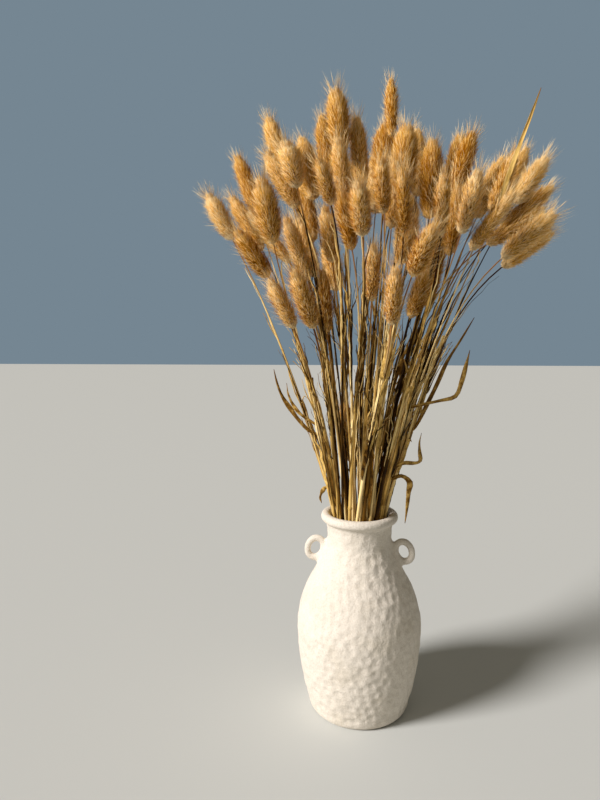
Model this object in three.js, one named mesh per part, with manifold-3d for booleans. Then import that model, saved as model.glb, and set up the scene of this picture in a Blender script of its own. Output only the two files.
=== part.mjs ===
// A white clay vase with two small ears and a hammered skin, and a bunch of dried bunny tail grass in it.
// Millimetres, +Z up. The origin is the centre of the vase's flat foot, and the two ears lie along X.

import * as THREE from 'three';
import Module from 'manifold-3d';

const wasm = await Module();
wasm.setup();

// The vase: its outline as radius and height, from the foot to the lip
const OUTLINE = [
  [46.4, 0], [49.6, 4], [51.6, 12], [55, 25], [58.7, 45], [61.4, 70], [61.3, 95],
  [54.7, 120], [44.5, 140], [37.4, 155], [32.2, 168], [31.9, 179], [32.6, 190.4],
];
const LIP = { radius: 33.3, height: 195.2, thick: 4.8, from: -0.38, steps: 6 };
const WALL = 5;
const FLOOR = { height: 6, radius: 40, curvesBelow: 25 };
const SIDES = 54;
const SKIN_ROWS = 24;
const HAMMERED = { from: 6, to: 186, deep: 0.9, proud: 0.3, scatter: 0.28 };
const EAR = { across: 43.7, height: 160.6, wide: 7.8, tall: 10.4, thick: 3.5, tilt: 20, steps: 12, sides: 8 };

// The stalks: how thick a culm is at its bare foot, where sheaths wrap it and under its head, and the heights
// at which it bends
const CULM = { foot: 1.2, wrapped: 2.1, neck: 0.95, sides: 3, thinnest: 0.85, varies: 0.3 };
const WRAPPED = { from: 130, to: 205, thinsTo: 430 };
const FOOT_GAP = 0.3;
const BEND_HEIGHTS = [FLOOR.height + FOOT_GAP, 172, 208, 258, 312, 368, 424, 480, 536];
const LAST_BEND = 20;

// How the stalks stand in the vase's mouth, how fast they open out of it, and how the whole bunch is turned.
// A stalk crosses the vase to its foot, which lies opposite and aside of its place in the mouth, as shares of
// that place's distance from the middle, so that the bunch is twisted and no two stalks meet.
const MOUTH = { height: 172, radius: 22.5, rings: [1, 6, 12, 17, 22] };
const FOOT = { opposite: 1.3, aside: 1.1 };
const OPENING = 0.6;
const NOD_POWER = 7;
const CROWN = { middle: 10, wide: 150, deep: 95 };
const BUNCH_TURN = 2.84;

// The heads: rows of tufts that stand out of a slimmer core and sweep up to a pointed tuft
const HEAD = { rows: 8, sides: 8, core: 0.7, sweep: 5, tuft: 7, root: 3, loose: 0.18 };
const LEAN_WITH_DEPTH = 0.005;

// Each head: across, depth and height of its base, across and height of its tip, and its girth
const HEADS = [
  // on the left
  [-121, -15, 465, -141, 503, 17], [-83, -45, 427, -107, 464, 17], [-101, 25, 462, -129, 510, 15],
  [-107, 45, 498, -127, 558, 15], [-75, -60, 454, -82, 502, 20], [-70, 0, 444, -105, 489, 14],
  [-48, -30, 425, -66, 476, 15], [-48, 30, 439, -63, 488, 15],
  // at the top left
  [-78, 30, 539, -92, 586, 16], [-60, -15, 492, -86, 538, 17], [-56, -45, 503, -63, 537, 19],
  [-51, 60, 523, -62, 579, 17],
  // in the crown
  [-19, -15, 539, -23, 590, 18], [-34, 35, 536, -40, 588, 14], [-15, -50, 491, -20, 536, 15],
  [-25, -75, 482, -33, 513, 12], [0, 0, 514, -5, 572, 15], [1, -90, 454, -3, 490, 16],
  [-8, -45, 449, -17, 492, 15], [28, 25, 570, 28, 614, 10], [22, 45, 529, 23, 582, 19],
  [37, -10, 508, 39, 559, 21], [56, 60, 526, 57, 581, 14], [18, -70, 475, 14, 512, 14],
  [26, -40, 468, 29, 518, 14], [33, -90, 453, 32, 497, 11], [66, 30, 496, 69, 561, 18],
  [64, -75, 455, 63, 496, 11],
  // on the right
  [89, 60, 516, 101, 576, 15], [85, 0, 504, 100, 554, 16], [83, -60, 459, 94, 503, 15],
  [78, -25, 446, 83, 500, 15], [39, -95, 422, 52, 457, 16], [114, 30, 493, 135, 541, 16],
  [116, -15, 486, 135, 531, 13], [143, 60, 509, 167, 560, 13], [146, 15, 499, 170, 535, 16],
  [93, -55, 446, 120, 487, 13], [144, 45, 481, 187, 517, 14], [120, 0, 458, 164, 486, 15],
  [125, -30, 441, 163, 475, 17], [142, 30, 442, 183, 472, 14],
  // low in the bunch
  [32, -50, 435, 40, 466, 10], [26, -80, 384, 28, 426, 13], [9, -65, 404, 10, 446, 11],
  [-60, -45, 382, -77, 422, 15], [-40, -75, 382, -53, 426, 16], [-31, -20, 379, -35, 432, 13],
  [-25, 15, 423, -33, 469, 16], [-26, -30, 441, -32, 485, 14], [-10, 25, 254, -19, 303, 14],
  [49, 0, 394, 61, 433, 14], [68, 60, 416, 82, 475, 17],
  // at the back
  [-17, 85, 500, -18, 563, 18], [16, 95, 517, 20, 575, 18], [-55, 80, 482, -67, 539, 17],
  [97, 95, 489, 112, 546, 17], [46, 80, 462, 52, 522, 18],
];

// The dried leaves that stand well clear of the bunch: how wide they are, how far along they are widest, and
// across, depth and height of the points that they pass
const BLADE = { thick: 0.7, tip: 0.8 };
const LONG_LEAVES = [
  [5, 0.75, [[97, -33, 436], [109, -33, 463], [118, -33, 488], [128, -33, 516], [136, -33, 540],
    [149, -33, 578]]],
  [5, 0.75, [[45, -29, 307], [58, -29, 310], [72, -28, 313], [86, -26, 317], [92, -25, 332], [98, -25, 359]]],
  [5, 0.6, [[43, -12, 266], [56, -16, 296], [68, -19, 322], [78, -20, 346], [89, -20, 365], [102, -20, 388]]],
  [6, 0.3, [[36, -20, 252], [45, -20, 253], [54, -20, 252], [57, -20, 258], [55, -20, 268], [57, -20, 282]]],
  [6, 0.35, [[36, -20, 246], [43, -20, 238], [48, -20, 232], [46, -20, 225], [45, -20, 211], [43, -20, 195]]],
  [5, 0.4, [[-43, -20, 275], [-53, -20, 287], [-62, -20, 299], [-71, -20, 311], [-77, -20, 325],
    [-81, -20, 341]]],
  [4, 0.4, [[-51, -20, 287], [-58, -20, 301], [-64, -20, 309], [-68, -20, 320], [-69, -20, 328]]],
  [5, 0.6, [[-27, 10, 224], [-34, 10, 220], [-39, 10, 212], [-38, 10, 204]]],
];
const SHORT_LEAVES = { count: 10, from: 214, spread: 110, long: 70, width: 4.5, widest: 0.4, steps: 4 };
const LEAF_STANDS_OUT = { least: 5, most: 22 };

// How the stalks are bent clear of each other
const SETTLING = {
  rounds: 260, step: 6, clearance: 0.7, spring: 0.02, evens: 0.2, sideways: 0.45, wallHolds: 8,
};
const NEARLY_IN_LINE = 0.5;

const CLAY_COLOUR = 0xebe4d7;
const STRAW_COLOUR = 0xc39250;
const SEEDS = { hammer: 7, culms: 21, tufts: 5, leaves: 36 };

// Draws the same numbers each time, from 0 to 1
function drawing(seed) {
  let state = seed;
  return () => {
    state = (state + 0x6d2b79f5) | 0;
    let mixed = Math.imul(state ^ (state >>> 15), 1 | state);
    mixed = (mixed + Math.imul(mixed ^ (mixed >>> 7), 61 | mixed)) ^ mixed;
    return ((mixed ^ (mixed >>> 14)) >>> 0) / 4294967296;
  };
}

// Joins rings of points into one closed skin. With no poles the last ring joins the first. Each quad is split
// between its odd corners, so that the even ones can stand out as points or lie in as pits.
function skin(rings, poles) {
  const points = rings.flat();
  const sides = rings[0].length;
  const at = (i, j) => (i % rings.length) * sides + (j % sides);
  const triangles = [];
  const bands = poles ? rings.length - 1 : rings.length;
  for (let i = 0; i < bands; i++) {
    for (let j = 0; j < sides; j++) {
      const corners = [at(i, j), at(i, j + 1), at(i + 1, j + 1), at(i + 1, j)];
      const order = (i + j) % 2 === 0 ? [0, 1, 3, 1, 2, 3] : [0, 1, 2, 0, 2, 3];
      triangles.push(...order.map((corner) => corners[corner]));
    }
  }
  if (poles) {
    const start = points.push(poles[0]) - 1;
    const end = points.push(poles[1]) - 1;
    for (let j = 0; j < sides; j++) {
      triangles.push(start, at(0, j + 1), at(0, j));
      triangles.push(end, at(bands, j), at(bands, j + 1));
    }
  }
  const geometry = new THREE.BufferGeometry().setFromPoints(points);
  geometry.setIndex(triangles);
  return geometry;
}

function solidOf(geometry) {
  const vertProperties = geometry.attributes.position.array;
  const triVerts = new Uint32Array(geometry.index.array);
  return new wasm.Manifold(new wasm.Mesh({ numProp: 3, vertProperties, triVerts }));
}

function geometryOf(solid) {
  const { vertProperties, triVerts } = solid.getMesh();
  const geometry = new THREE.BufferGeometry();
  geometry.setAttribute('position', new THREE.BufferAttribute(vertProperties, 3));
  geometry.setIndex(new THREE.BufferAttribute(triVerts, 1));
  geometry.computeVertexNormals();
  return geometry;
}

// Two directions square to a third and to each other, the first as near to a wanted one as can be
function crosswise(along, wanted = new THREE.Vector3(1, 0, 0)) {
  const first = wanted.clone().projectOnPlane(along).normalize();
  return [first, along.clone().cross(first).normalize()];
}

// A ring of points round a centre, whose radius and shift may differ from point to point
function ringOf(centre, [first, second], sides, radiusOf, shiftOf = () => new THREE.Vector3()) {
  return Array.from({ length: sides }, (_, j) => {
    const turn = (2 * Math.PI * j) / sides;
    const point = centre.clone().add(shiftOf(j));
    point.addScaledVector(first, radiusOf(j) * Math.cos(turn));
    return point.addScaledVector(second, radiusOf(j) * Math.sin(turn));
  });
}

// The wall's inner side, as radius and height
const INNER = OUTLINE.slice(0, -1)
  .filter(([, height]) => height >= FLOOR.curvesBelow)
  .map(([radius, height]) => [radius - WALL, height]);

// The vase's section: up the outside, over the lip, down the inside and along the floor
function vaseSection() {
  const curve = new THREE.SplineCurve(OUTLINE.map(([radius, height]) => new THREE.Vector2(radius, height)));
  const outside = curve.getSpacedPoints(SKIN_ROWS);
  const lip = Array.from({ length: LIP.steps }, (_, i) => {
    const turn = THREE.MathUtils.lerp(LIP.from, 1, (i + 1) / LIP.steps) * Math.PI;
    const [out, up] = [LIP.thick * Math.cos(turn), LIP.thick * Math.sin(turn)];
    return new THREE.Vector2(LIP.radius + out, LIP.height + up);
  });
  const inside = [...INNER].reverse().map(([radius, height]) => new THREE.Vector2(radius, height));
  return { outside, rest: [...lip, ...inside, new THREE.Vector2(FLOOR.radius, FLOOR.height)] };
}

// Every second point of the skin is hammered in, and all of them are a little out of line
function hammeredRing(point, row, draw) {
  const hammered = point.y > HAMMERED.from && point.y < HAMMERED.to ? 1 : 0;
  const pitch = (2 * Math.PI) / SIDES;
  return Array.from({ length: SIDES }, (_, j) => {
    const pit = (row + j) % 2 === 0 ? -HAMMERED.deep * (0.5 + 0.8 * draw()) : HAMMERED.proud * draw();
    const turn = pitch * (j + HAMMERED.scatter * hammered * (2 * draw() - 1));
    const radius = point.x + pit * hammered;
    const rise = HAMMERED.scatter * hammered * pitch * point.x * (2 * draw() - 1);
    return new THREE.Vector3(radius * Math.cos(turn), radius * Math.sin(turn), point.y + rise);
  });
}

// An ear is a small full ring that leans in at its top and runs into the neck and the shoulder
function ear(side) {
  const tilt = THREE.MathUtils.degToRad(EAR.tilt);
  const upward = new THREE.Vector3(-side * Math.sin(tilt), 0, Math.cos(tilt));
  const outward = new THREE.Vector3(side * Math.cos(tilt), 0, Math.sin(tilt));
  const centre = new THREE.Vector3(side * EAR.across, 0, EAR.height);
  const rings = Array.from({ length: EAR.steps }, (_, i) => {
    const turn = (2 * Math.PI * i) / EAR.steps;
    const arm = outward.clone().multiplyScalar(EAR.wide * Math.cos(turn));
    arm.addScaledVector(upward, EAR.tall * Math.sin(turn));
    const along = outward.clone().multiplyScalar(-EAR.wide * Math.sin(turn));
    along.addScaledVector(upward, EAR.tall * Math.cos(turn)).normalize();
    return ringOf(centre.clone().add(arm), crosswise(along, arm), EAR.sides, () => EAR.thick);
  });
  return solidOf(skin(rings));
}

function vase() {
  const draw = drawing(SEEDS.hammer);
  const { outside, rest } = vaseSection();
  const level = crosswise(new THREE.Vector3(0, 0, 1));
  const rings = [
    ...outside.map((point, row) => hammeredRing(point, row, draw)),
    ...rest.map((point) => ringOf(new THREE.Vector3(0, 0, point.y), level, SIDES, () => point.x)),
  ];
  const poles = [new THREE.Vector3(), new THREE.Vector3(0, 0, FLOOR.height)];
  return geometryOf(solidOf(skin(rings, poles)).add(ear(1)).add(ear(-1)));
}

// Inner radius of the vase at a height, which the stalks stay within
function innerRadius(height) {
  const next = INNER.findIndex(([, level]) => level > height);
  if (next < 0) return LIP.radius - LIP.thick;
  if (next === 0) return FLOOR.radius;
  const [[lowRadius, low], [highRadius, high]] = [INNER[next - 1], INNER[next]];
  return THREE.MathUtils.mapLinear(height, low, high, lowRadius, highRadius);
}

function culmRadius(stalk, height) {
  const wrapped = THREE.MathUtils.smoothstep(height, WRAPPED.from, WRAPPED.to);
  const thinned = THREE.MathUtils.smoothstep(height, WRAPPED.to, WRAPPED.thinsTo);
  const lower = THREE.MathUtils.lerp(CULM.foot, CULM.wrapped, wrapped);
  return THREE.MathUtils.lerp(lower, CULM.neck, thinned) * stalk.stout;
}

// How full a head is along its length, from 0 at its base to 1 at its tip
function fullness(along) {
  return Math.sin(Math.PI * (0.07 + 0.86 * along) ** 0.78) ** 0.6;
}

// Sets out each stalk as it would stand alone: from the vase's floor, out of the mouth and up into its head
function setOut() {
  const draw = drawing(SEEDS.culms);
  const stalks = HEADS.map(([across, depth, up, tipAcross, tipUp, girth]) => {
    const base = new THREE.Vector3(across, depth, up);
    const backward = LEAN_WITH_DEPTH * depth * Math.hypot(tipAcross - across, tipUp - up);
    const tip = new THREE.Vector3(tipAcross, depth + backward, tipUp);
    const off = new THREE.Vector2((across - CROWN.middle) / CROWN.wide, depth / CROWN.deep);
    return { base, tip, girth, off, stout: CULM.thinnest + CULM.varies * draw() };
  });
  takePlaces(stalks);
  for (const stalk of stalks) {
    stalk.knots = knotsOf(stalk);
    stalk.plan = stalk.knots.map((knot) => knot.clone());
  }
  return stalks;
}

// The stalks fill the mouth in rings: the further a head is off the middle, the further out its stalk stands
function takePlaces(stalks) {
  const inOrder = [...stalks].sort((a, b) => a.off.length() - b.off.length());
  MOUTH.rings.forEach((count, ring) => {
    const group = inOrder.splice(0, count).sort((a, b) => a.off.angle() - b.off.angle());
    const out = (MOUTH.radius * ring) / (MOUTH.rings.length - 1);
    const evenTurn = (i) => (2 * Math.PI * i) / count;
    const turned = group.reduce((sum, stalk, i) => sum + (stalk.off.angle() - evenTurn(i)) / count, 0);
    group.forEach((stalk, i) => {
      const turn = turned + evenTurn(i);
      stalk.mouth = new THREE.Vector2(out * Math.cos(turn), out * Math.sin(turn));
    });
  });
}

// The foot's place on the vase's floor
function footOf(mouth) {
  const aside = new THREE.Vector2(-mouth.y, mouth.x).multiplyScalar(FOOT.aside);
  return aside.addScaledVector(mouth, -FOOT.opposite);
}

// The bends of a culm, then the base and the tip of its head. Above the mouth a culm opens out evenly at
// first, and a steep last term makes it nod the way that its head leans.
function knotsOf({ base, tip, mouth }) {
  const rise = base.z - MOUTH.height;
  const lean = tip.clone().sub(base);
  const offsetAt = (t, axis) => {
    const reach = base[axis] - mouth[axis];
    const opens = OPENING * reach;
    const nods = ((lean[axis] / lean.z) * rise + opens - 2 * reach) / (NOD_POWER - 2);
    return mouth[axis] + opens * t + (reach - opens - nods) * t ** 2 + nods * t ** NOD_POWER;
  };
  const bends = BEND_HEIGHTS.filter((height) => height < base.z - LAST_BEND).map((height) => {
    const t = (height - MOUTH.height) / rise;
    const { x, y } = t < 0 ? footOf(mouth) : { x: offsetAt(t, 'x'), y: offsetAt(t, 'y') };
    return new THREE.Vector3(x, y, height);
  });
  return [...bends, base.clone(), tip.clone()];
}

// A stalk's cut at a height: the knots on both sides of it, its middle, its direction and its radius
function cutAt(stalk, height) {
  const { knots } = stalk;
  const last = knots.length - 1;
  const beyond = height > knots[last].z;
  const upper = beyond ? last : Math.max(1, knots.findIndex((knot) => knot.z >= height));
  const [below, above] = [knots[upper - 1], knots[upper]];
  const share = (height - below.z) / (above.z - below.z);
  const middle = below.clone().lerp(above, share);
  const along = above.clone().sub(below).normalize();
  const inHead = upper === last;
  const radius = inHead ? (stalk.girth / 2) * (beyond ? 0.5 : 1) : culmRadius(stalk, height);
  return { stalk, upper, share, middle, along, radius };
}

// How far two cuts at one height still have to move apart, square to the way they both run
function shortage(a, b) {
  const wanted = a.radius + b.radius + SETTLING.clearance;
  const apart = a.middle.clone().sub(b.middle);
  if (apart.length() > 3 * wanted) return null;
  const way = a.along.clone().multiplyScalar(a.radius).addScaledVector(b.along, b.radius).normalize();
  const short = wanted - apart.projectOnPlane(way).length();
  return short > 0 ? { short, apart } : null;
}

function nudge({ stalk, upper, share }, move, weight = 1) {
  for (const [knot, part] of [[upper - 1, 1 - share], [upper, share]]) {
    stalk.pushes[knot].addScaledVector(move, part * weight);
    stalk.weights[knot] += part * weight;
  }
}

// Two cuts that are too near part mostly in depth, and the thinner one gives way more
function part(a, b) {
  const found = shortage(a, b);
  if (!found) return;
  const { short, apart } = found;
  const depthSign = Math.abs(apart.y) < NEARLY_IN_LINE ? 1 : Math.sign(apart.y);
  const move = new THREE.Vector3(apart.x * SETTLING.sideways, apart.y + NEARLY_IN_LINE * depthSign, 0);
  move.setLength(short / (a.radius + b.radius));
  nudge(a, move.clone().multiplyScalar(b.radius));
  nudge(b, move.clone().multiplyScalar(-a.radius));
}

function keepInVase(cut, height) {
  const out = Math.hypot(cut.middle.x, cut.middle.y);
  const over = out + cut.radius + SETTLING.clearance - innerRadius(height);
  if (over <= 0) return;
  nudge(cut, new THREE.Vector3(-cut.middle.x, -cut.middle.y, 0).setLength(over), SETTLING.wallHolds);
}

// The pull back to the plan and the evening out fade to nothing towards the last round, when ease is 0
function applyPushes(stalk, ease) {
  const { knots, plan, pushes, weights } = stalk;
  const last = knots.length - 1;
  knots.forEach((knot, i) => {
    if (weights[i] > 0) knot.addScaledVector(pushes[i], 1 / weights[i]);
  });
  const shifts = knots.map((knot, i) => knot.clone().sub(plan[i]).multiplyScalar(1 - SETTLING.spring * ease));
  const headShift = shifts[last].clone().add(shifts[last - 1]).multiplyScalar(0.5);
  knots.forEach((knot, i) => {
    if (i >= last - 1) {
      knot.copy(plan[i]).add(headShift);
      return;
    }
    const neighbours = shifts[Math.max(0, i - 1)].clone().add(shifts[i + 1]).multiplyScalar(0.5);
    knot.copy(plan[i]).add(shifts[i].clone().lerp(neighbours, SETTLING.evens * ease));
  });
}

function settleRound(stalks, ease) {
  const top = Math.max(...stalks.map(({ tip }) => tip.z)) + HEAD.tuft;
  for (const stalk of stalks) {
    stalk.pushes = stalk.knots.map(() => new THREE.Vector3());
    stalk.weights = stalk.knots.map(() => 0);
  }
  for (let height = BEND_HEIGHTS[0]; height < top; height += SETTLING.step) {
    const reaching = stalks.filter(({ knots }) => knots.at(-1).z + HEAD.tuft > height);
    const cuts = reaching.map((stalk) => cutAt(stalk, height));
    cuts.forEach((cut, i) => cuts.slice(0, i).forEach((other) => part(cut, other)));
    if (height < LIP.height + LIP.thick) cuts.forEach((cut) => keepInVase(cut, height));
  }
  stalks.forEach((stalk) => applyPushes(stalk, ease));
}

// Bends the stalks clear of each other and of the vase, with each head kept whole
function settle(stalks) {
  for (let round = 1; round <= SETTLING.rounds; round++) {
    settleRound(stalks, 1 - round / SETTLING.rounds);
  }
}

// The foot's ring lies level, so that the culm stands flat
function culm(stalk) {
  const { knots } = stalk;
  const rings = knots.slice(0, -1).map((knot, i) => {
    const along = knots[i + 1].clone().sub(knots[Math.max(0, i - 1)]);
    if (i === 0) along.set(0, 0, 1);
    return ringOf(knot, crosswise(along.normalize()), CULM.sides, () => culmRadius(stalk, knot.z));
  });
  const [base, tip] = knots.slice(-2);
  return solidOf(skin(rings, [knots[0], base.clone().lerp(tip, 1 / HEAD.rows)]));
}

function head(stalk, draw) {
  const [base, tip] = stalk.knots.slice(-2);
  const along = tip.clone().sub(base).normalize();
  const across = crosswise(along);
  const loose = () => 1 + HEAD.loose * (2 * draw() - 1);
  const rings = Array.from({ length: HEAD.rows }, (_, i) => {
    const place = (i + 0.45) / HEAD.rows;
    const full = (stalk.girth / 2) * fullness(place);
    const isTuft = (j) => (i + j) % 2 === 0;
    const radiusOf = (j) => full * (isTuft(j) ? loose() : HEAD.core);
    const shiftOf = (j) => along.clone().multiplyScalar(isTuft(j) ? HEAD.sweep * loose() : 0);
    return ringOf(base.clone().lerp(tip, place), across, HEAD.sides, radiusOf, shiftOf);
  });
  const root = base.clone().addScaledVector(along, -HEAD.root);
  const point = tip.clone().addScaledVector(along, HEAD.tuft * loose());
  return solidOf(skin(rings, [root, point]));
}

// A dried leaf: a thin strip along a path, flat towards the side it faces, that narrows to a point
function blade(path, width, widest, facing) {
  const curve = new THREE.CatmullRomCurve3(path);
  const steps = path.length;
  const rings = Array.from({ length: steps }, (_, i) => {
    const place = i / steps;
    const along = curve.getTangentAt(place);
    const [flat, thin] = crosswise(along, facing.clone().cross(along));
    const full = place < widest ? 0.3 + (0.7 * place) / widest : (1 - place) / (1 - widest);
    const half = Math.max(BLADE.tip, width * full ** 0.7) / 2;
    const corners = [[half, -1], [half, 1], [-half, 1], [-half, -1]];
    return corners.map(([wide, side]) => {
      const point = curve.getPointAt(place).addScaledVector(flat, wide);
      return point.addScaledVector(thin, (side * BLADE.thick) / 2);
    });
  });
  return solidOf(skin(rings, [path[0], path.at(-1)]));
}

function culmPoint(stalk, height) {
  return cutAt(stalk, height).middle;
}

// A long leaf grows from the stalk nearest to its first point
function addLongLeaves(stalks) {
  for (const [width, widest, path] of LONG_LEAVES) {
    const points = path.map(([across, depth, up]) => new THREE.Vector3(across, depth, up));
    const root = points[0];
    const holders = stalks.filter(({ knots }) => knots.at(-2).z > root.z + 20);
    const distance = (stalk) => culmPoint(stalk, root.z).distanceTo(root);
    const holder = holders.reduce((a, b) => (distance(a) < distance(b) ? a : b));
    points[0] = culmPoint(holder, root.z);
    holder.leaves.push(blade(points, width, widest, new THREE.Vector3(0, 1, 0)));
  }
}

// Short leaves lie outside the bunch all round, each on the stalk that stands out most on its side
function addShortLeaves(stalks) {
  const draw = drawing(SEEDS.leaves);
  for (let i = 0; i < SHORT_LEAVES.count; i++) {
    const turn = (2 * Math.PI * (i + 0.6 * draw())) / SHORT_LEAVES.count;
    const outward = new THREE.Vector3(Math.cos(turn), Math.sin(turn), 0);
    const from = SHORT_LEAVES.from + SHORT_LEAVES.spread * draw();
    const long = SHORT_LEAVES.long * (0.7 + 0.6 * draw());
    const holders = stalks.filter(({ knots, leaves }) => knots.at(-2).z > from + long && leaves.length === 0);
    const standsOut = (stalk) => culmPoint(stalk, from).dot(outward);
    const holder = holders.reduce((a, b) => (standsOut(a) > standsOut(b) ? a : b));
    const out = THREE.MathUtils.lerp(LEAF_STANDS_OUT.least, LEAF_STANDS_OUT.most, draw() ** 2);
    const path = Array.from({ length: SHORT_LEAVES.steps }, (_, k) => {
      const place = k / (SHORT_LEAVES.steps - 1);
      return culmPoint(holder, from + long * place).addScaledVector(outward, out * place ** 1.3);
    });
    holder.leaves.push(blade(path, SHORT_LEAVES.width * (0.8 + 0.4 * draw()), SHORT_LEAVES.widest, outward));
  }
}

function matte(color) {
  return new THREE.MeshStandardMaterial({ color, roughness: 0.9, metalness: 0, flatShading: true });
}

function stalkMesh(stalk, index, draw) {
  const whole = stalk.leaves.reduce((solid, leaf) => solid.add(leaf), culm(stalk).add(head(stalk, draw)));
  const colour = new THREE.Color(STRAW_COLOUR).offsetHSL(0.02 * (draw() - 0.5), 0, 0.12 * (draw() - 0.5));
  const mesh = new THREE.Mesh(geometryOf(whole), matte(colour));
  mesh.name = `stalk_${String(index + 1).padStart(2, '0')}`;
  return mesh;
}

function bunch() {
  const draw = drawing(SEEDS.tufts);
  const stalks = setOut();
  settle(stalks);
  stalks.forEach((stalk) => { stalk.leaves = []; });
  addLongLeaves(stalks);
  addShortLeaves(stalks);
  const group = new THREE.Group();
  group.rotation.z = THREE.MathUtils.degToRad(BUNCH_TURN);
  group.add(...stalks.map((stalk, index) => stalkMesh(stalk, index, draw)));
  return group;
}

const vaseMesh = new THREE.Mesh(vase(), matte(new THREE.Color(CLAY_COLOUR)));
vaseMesh.name = 'vase';

const object = new THREE.Group();
object.add(vaseMesh, bunch());
export default object;
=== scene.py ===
import math
from itertools import combinations

import bpy
import numpy as np
from bpy.props import FloatProperty, FloatVectorProperty, IntProperty, PointerProperty
from mathutils import Matrix, Vector


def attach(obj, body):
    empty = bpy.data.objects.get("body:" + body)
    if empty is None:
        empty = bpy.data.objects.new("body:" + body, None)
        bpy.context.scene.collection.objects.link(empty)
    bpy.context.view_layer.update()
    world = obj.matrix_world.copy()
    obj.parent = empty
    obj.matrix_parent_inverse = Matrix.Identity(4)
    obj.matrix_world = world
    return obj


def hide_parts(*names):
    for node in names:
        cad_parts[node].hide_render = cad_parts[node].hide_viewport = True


bl_info = {
    "name": "Vase of dried bunny tail grass",
    "version": (1, 0, 0),
    "blender": (4, 5, 0),
    "location": "View3D > Sidebar > Dried grass",
    "description": "Makes a hammered clay vase with a bunch of dried bunny tail grass in it",
    "category": "Add Mesh",
}

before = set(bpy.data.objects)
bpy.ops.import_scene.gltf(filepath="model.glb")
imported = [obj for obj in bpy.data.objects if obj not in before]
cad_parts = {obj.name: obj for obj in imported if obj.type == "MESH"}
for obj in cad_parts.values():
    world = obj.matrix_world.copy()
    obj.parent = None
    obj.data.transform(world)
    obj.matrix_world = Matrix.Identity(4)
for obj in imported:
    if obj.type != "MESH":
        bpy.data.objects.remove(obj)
bpy.ops.object.select_all(action="DESELECT")
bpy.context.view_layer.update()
STALKS = sorted(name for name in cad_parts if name.startswith("stalk"))

# The vase's outline as radius and height, from its foot to under its lip, in metres
OUTLINE = np.array([
    (46.4, 0), (49.6, 4), (51.6, 12), (55, 25), (58.7, 45), (61.4, 70), (61.3, 95),
    (54.7, 120), (44.5, 140), (37.4, 155), (32.2, 168), (31.9, 179), (32.6, 190.4),
]) / 1000
LIP = {"radius": 0.0333, "height": 0.1952, "thick": 0.0048}
FLOOR = {"radius": 0.040, "height": 0.006, "curves_below": 0.025}
EAR = {"across": 0.0437, "height": 0.1606, "wide": 0.0078, "tall": 0.0104, "tilt": 20}
BODY_SIDES = 144

# The hammered skin, in shares of the pitch, and its depths in shares of the full depth
DENTS = {"row_step": 0.87, "stray_round": 0.18, "stray_up": 0.17, "reach": (0.60, 0.80), "depths": (0.35, 1.0)}

# What the source's stalks are built on: the heights at which a culm bends, a head's rows of tufts and a leaf's
# thickness; and the usual head's length by its girth
BEND_HEIGHTS = np.array((172, 208, 258, 312, 368, 424, 480, 536)) / 1000
LAST_BEND = 0.020
FOOT_SHARE, NECK_SHARE, STRAIGHT_SHARE = 0.66, 0.9, 0.86
ROWS = 8
LAST_ROW = (ROWS - 0.55) / ROWS
CORE = 0.7
BLADE_THICK = 0.0007
USUAL_HEAD = 0.050 * 0.017

# Where a culm stands when it is in front of the one low head, which no sheath may hide
LOW_HEAD = {"x": -0.015, "y": 0.020, "half_wide": 0.010, "height": 0.28, "clear_to": 0.32}

# The heights at which sheaths and blades start, how far below a head they stay, a blade's width in shares of a
# sheath's, and how many of the sheaths hook over
SHEATHS_FROM, BLADES_FROM, MOUTH, CLEAR = (0.195, 0.33), (0.25, 0.42), 0.200, 0.10
BLADE_SHARE, HOOKED_SHEATHS = 0.45, 0.3

# What repeats is copied from these straight tubes: sides and rings
TUBES = (("culm", 8, 33), ("strip", 6, 14), ("leaf", 12, 19), ("core", 10, 9))

# The usual tones: the map's left half holds the hair and its right half the straw
HEAD_TONES, AWN_TONE, HAIR_TONE_LIMITS = [0.31, 0.28, 0.24, 0.19], 0.42, (0.01, 0.485)
STRAW_TONES, LEAF_TONES = [0.05, 0.13, 0.27, 0.40, 0.48], [0.18, 0.23, 0.28]
HAIR_SIDE, STRAW_SIDE = 0, 1

# The heads' fur and core, as shares of the girth, and the turn from one clump of hair to the next, in radians
FUR_SHARE, CORE_SHARE = 0.465, 0.35
GOLDEN_ANGLE = 2.39996

# How much clumps differ from each other, and hairs in a clump: turns in radians, places in metres
CLUMPS = {"turn": 0.12, "tone": 0.020, "reach": 0.030, "sway": 0.09}
HAIRS = {"tone": 0.016, "reach": 0.045, "up": 0.0014, "aside": 0.0013, "facing": 0.25}
PALER_HAIRS = {"share": 0.38, "by": (0.07, 0.21)}
STRAY_HAIRS = {"share": 0.28, "by": (0.0004, 0.0036)}
AWNS = {"long": (0.0075, 0.0185), "out": (0.0015, 0.0120)}

# Where a head counts as at the back, of the crown, low or big, and what each of these does to it
BACK, CROWN_X, BESIDE_CROWN, LOW, BIG = (-0.03, 0.07), 0.03, (0.06, 0.11), (0.27, 0.33), (0.0155, 0.0185)
# The tone shifts are painted light and shade: painted shade darkens heads at the back and in the crown, and painted
# light makes the low head paler
PAINTED_LIGHT_AND_SHADE = {"low": 0.05, "back": -0.06, "crown": -0.04}
FULLER = {"low": 0.30, "crown": 0.10, "back": 0.27, "big": 0.12}

# The photo's camera, with its turn round the vase, and its own turns sideways, down and over, in degrees
CAMERA = {"sensor": 36, "lens": 27.05, "place": (0, -0.580, 0.377),
          "turns": ((2.84, "Z"), (5.75, "Z"), (90 - 6.58, "X"), (-0.29, "Z"))}
KEY_TOWARDS = (2.42, 1.58, -1.77)


def metres(name, description, default, **more):
    return FloatProperty(name=name, description=description, default=default, unit="LENGTH", precision=5, **more)


def colour(name, description, default):
    return FloatVectorProperty(name=name, description=description, default=default, subtype="COLOR", min=0, max=1)


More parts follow.
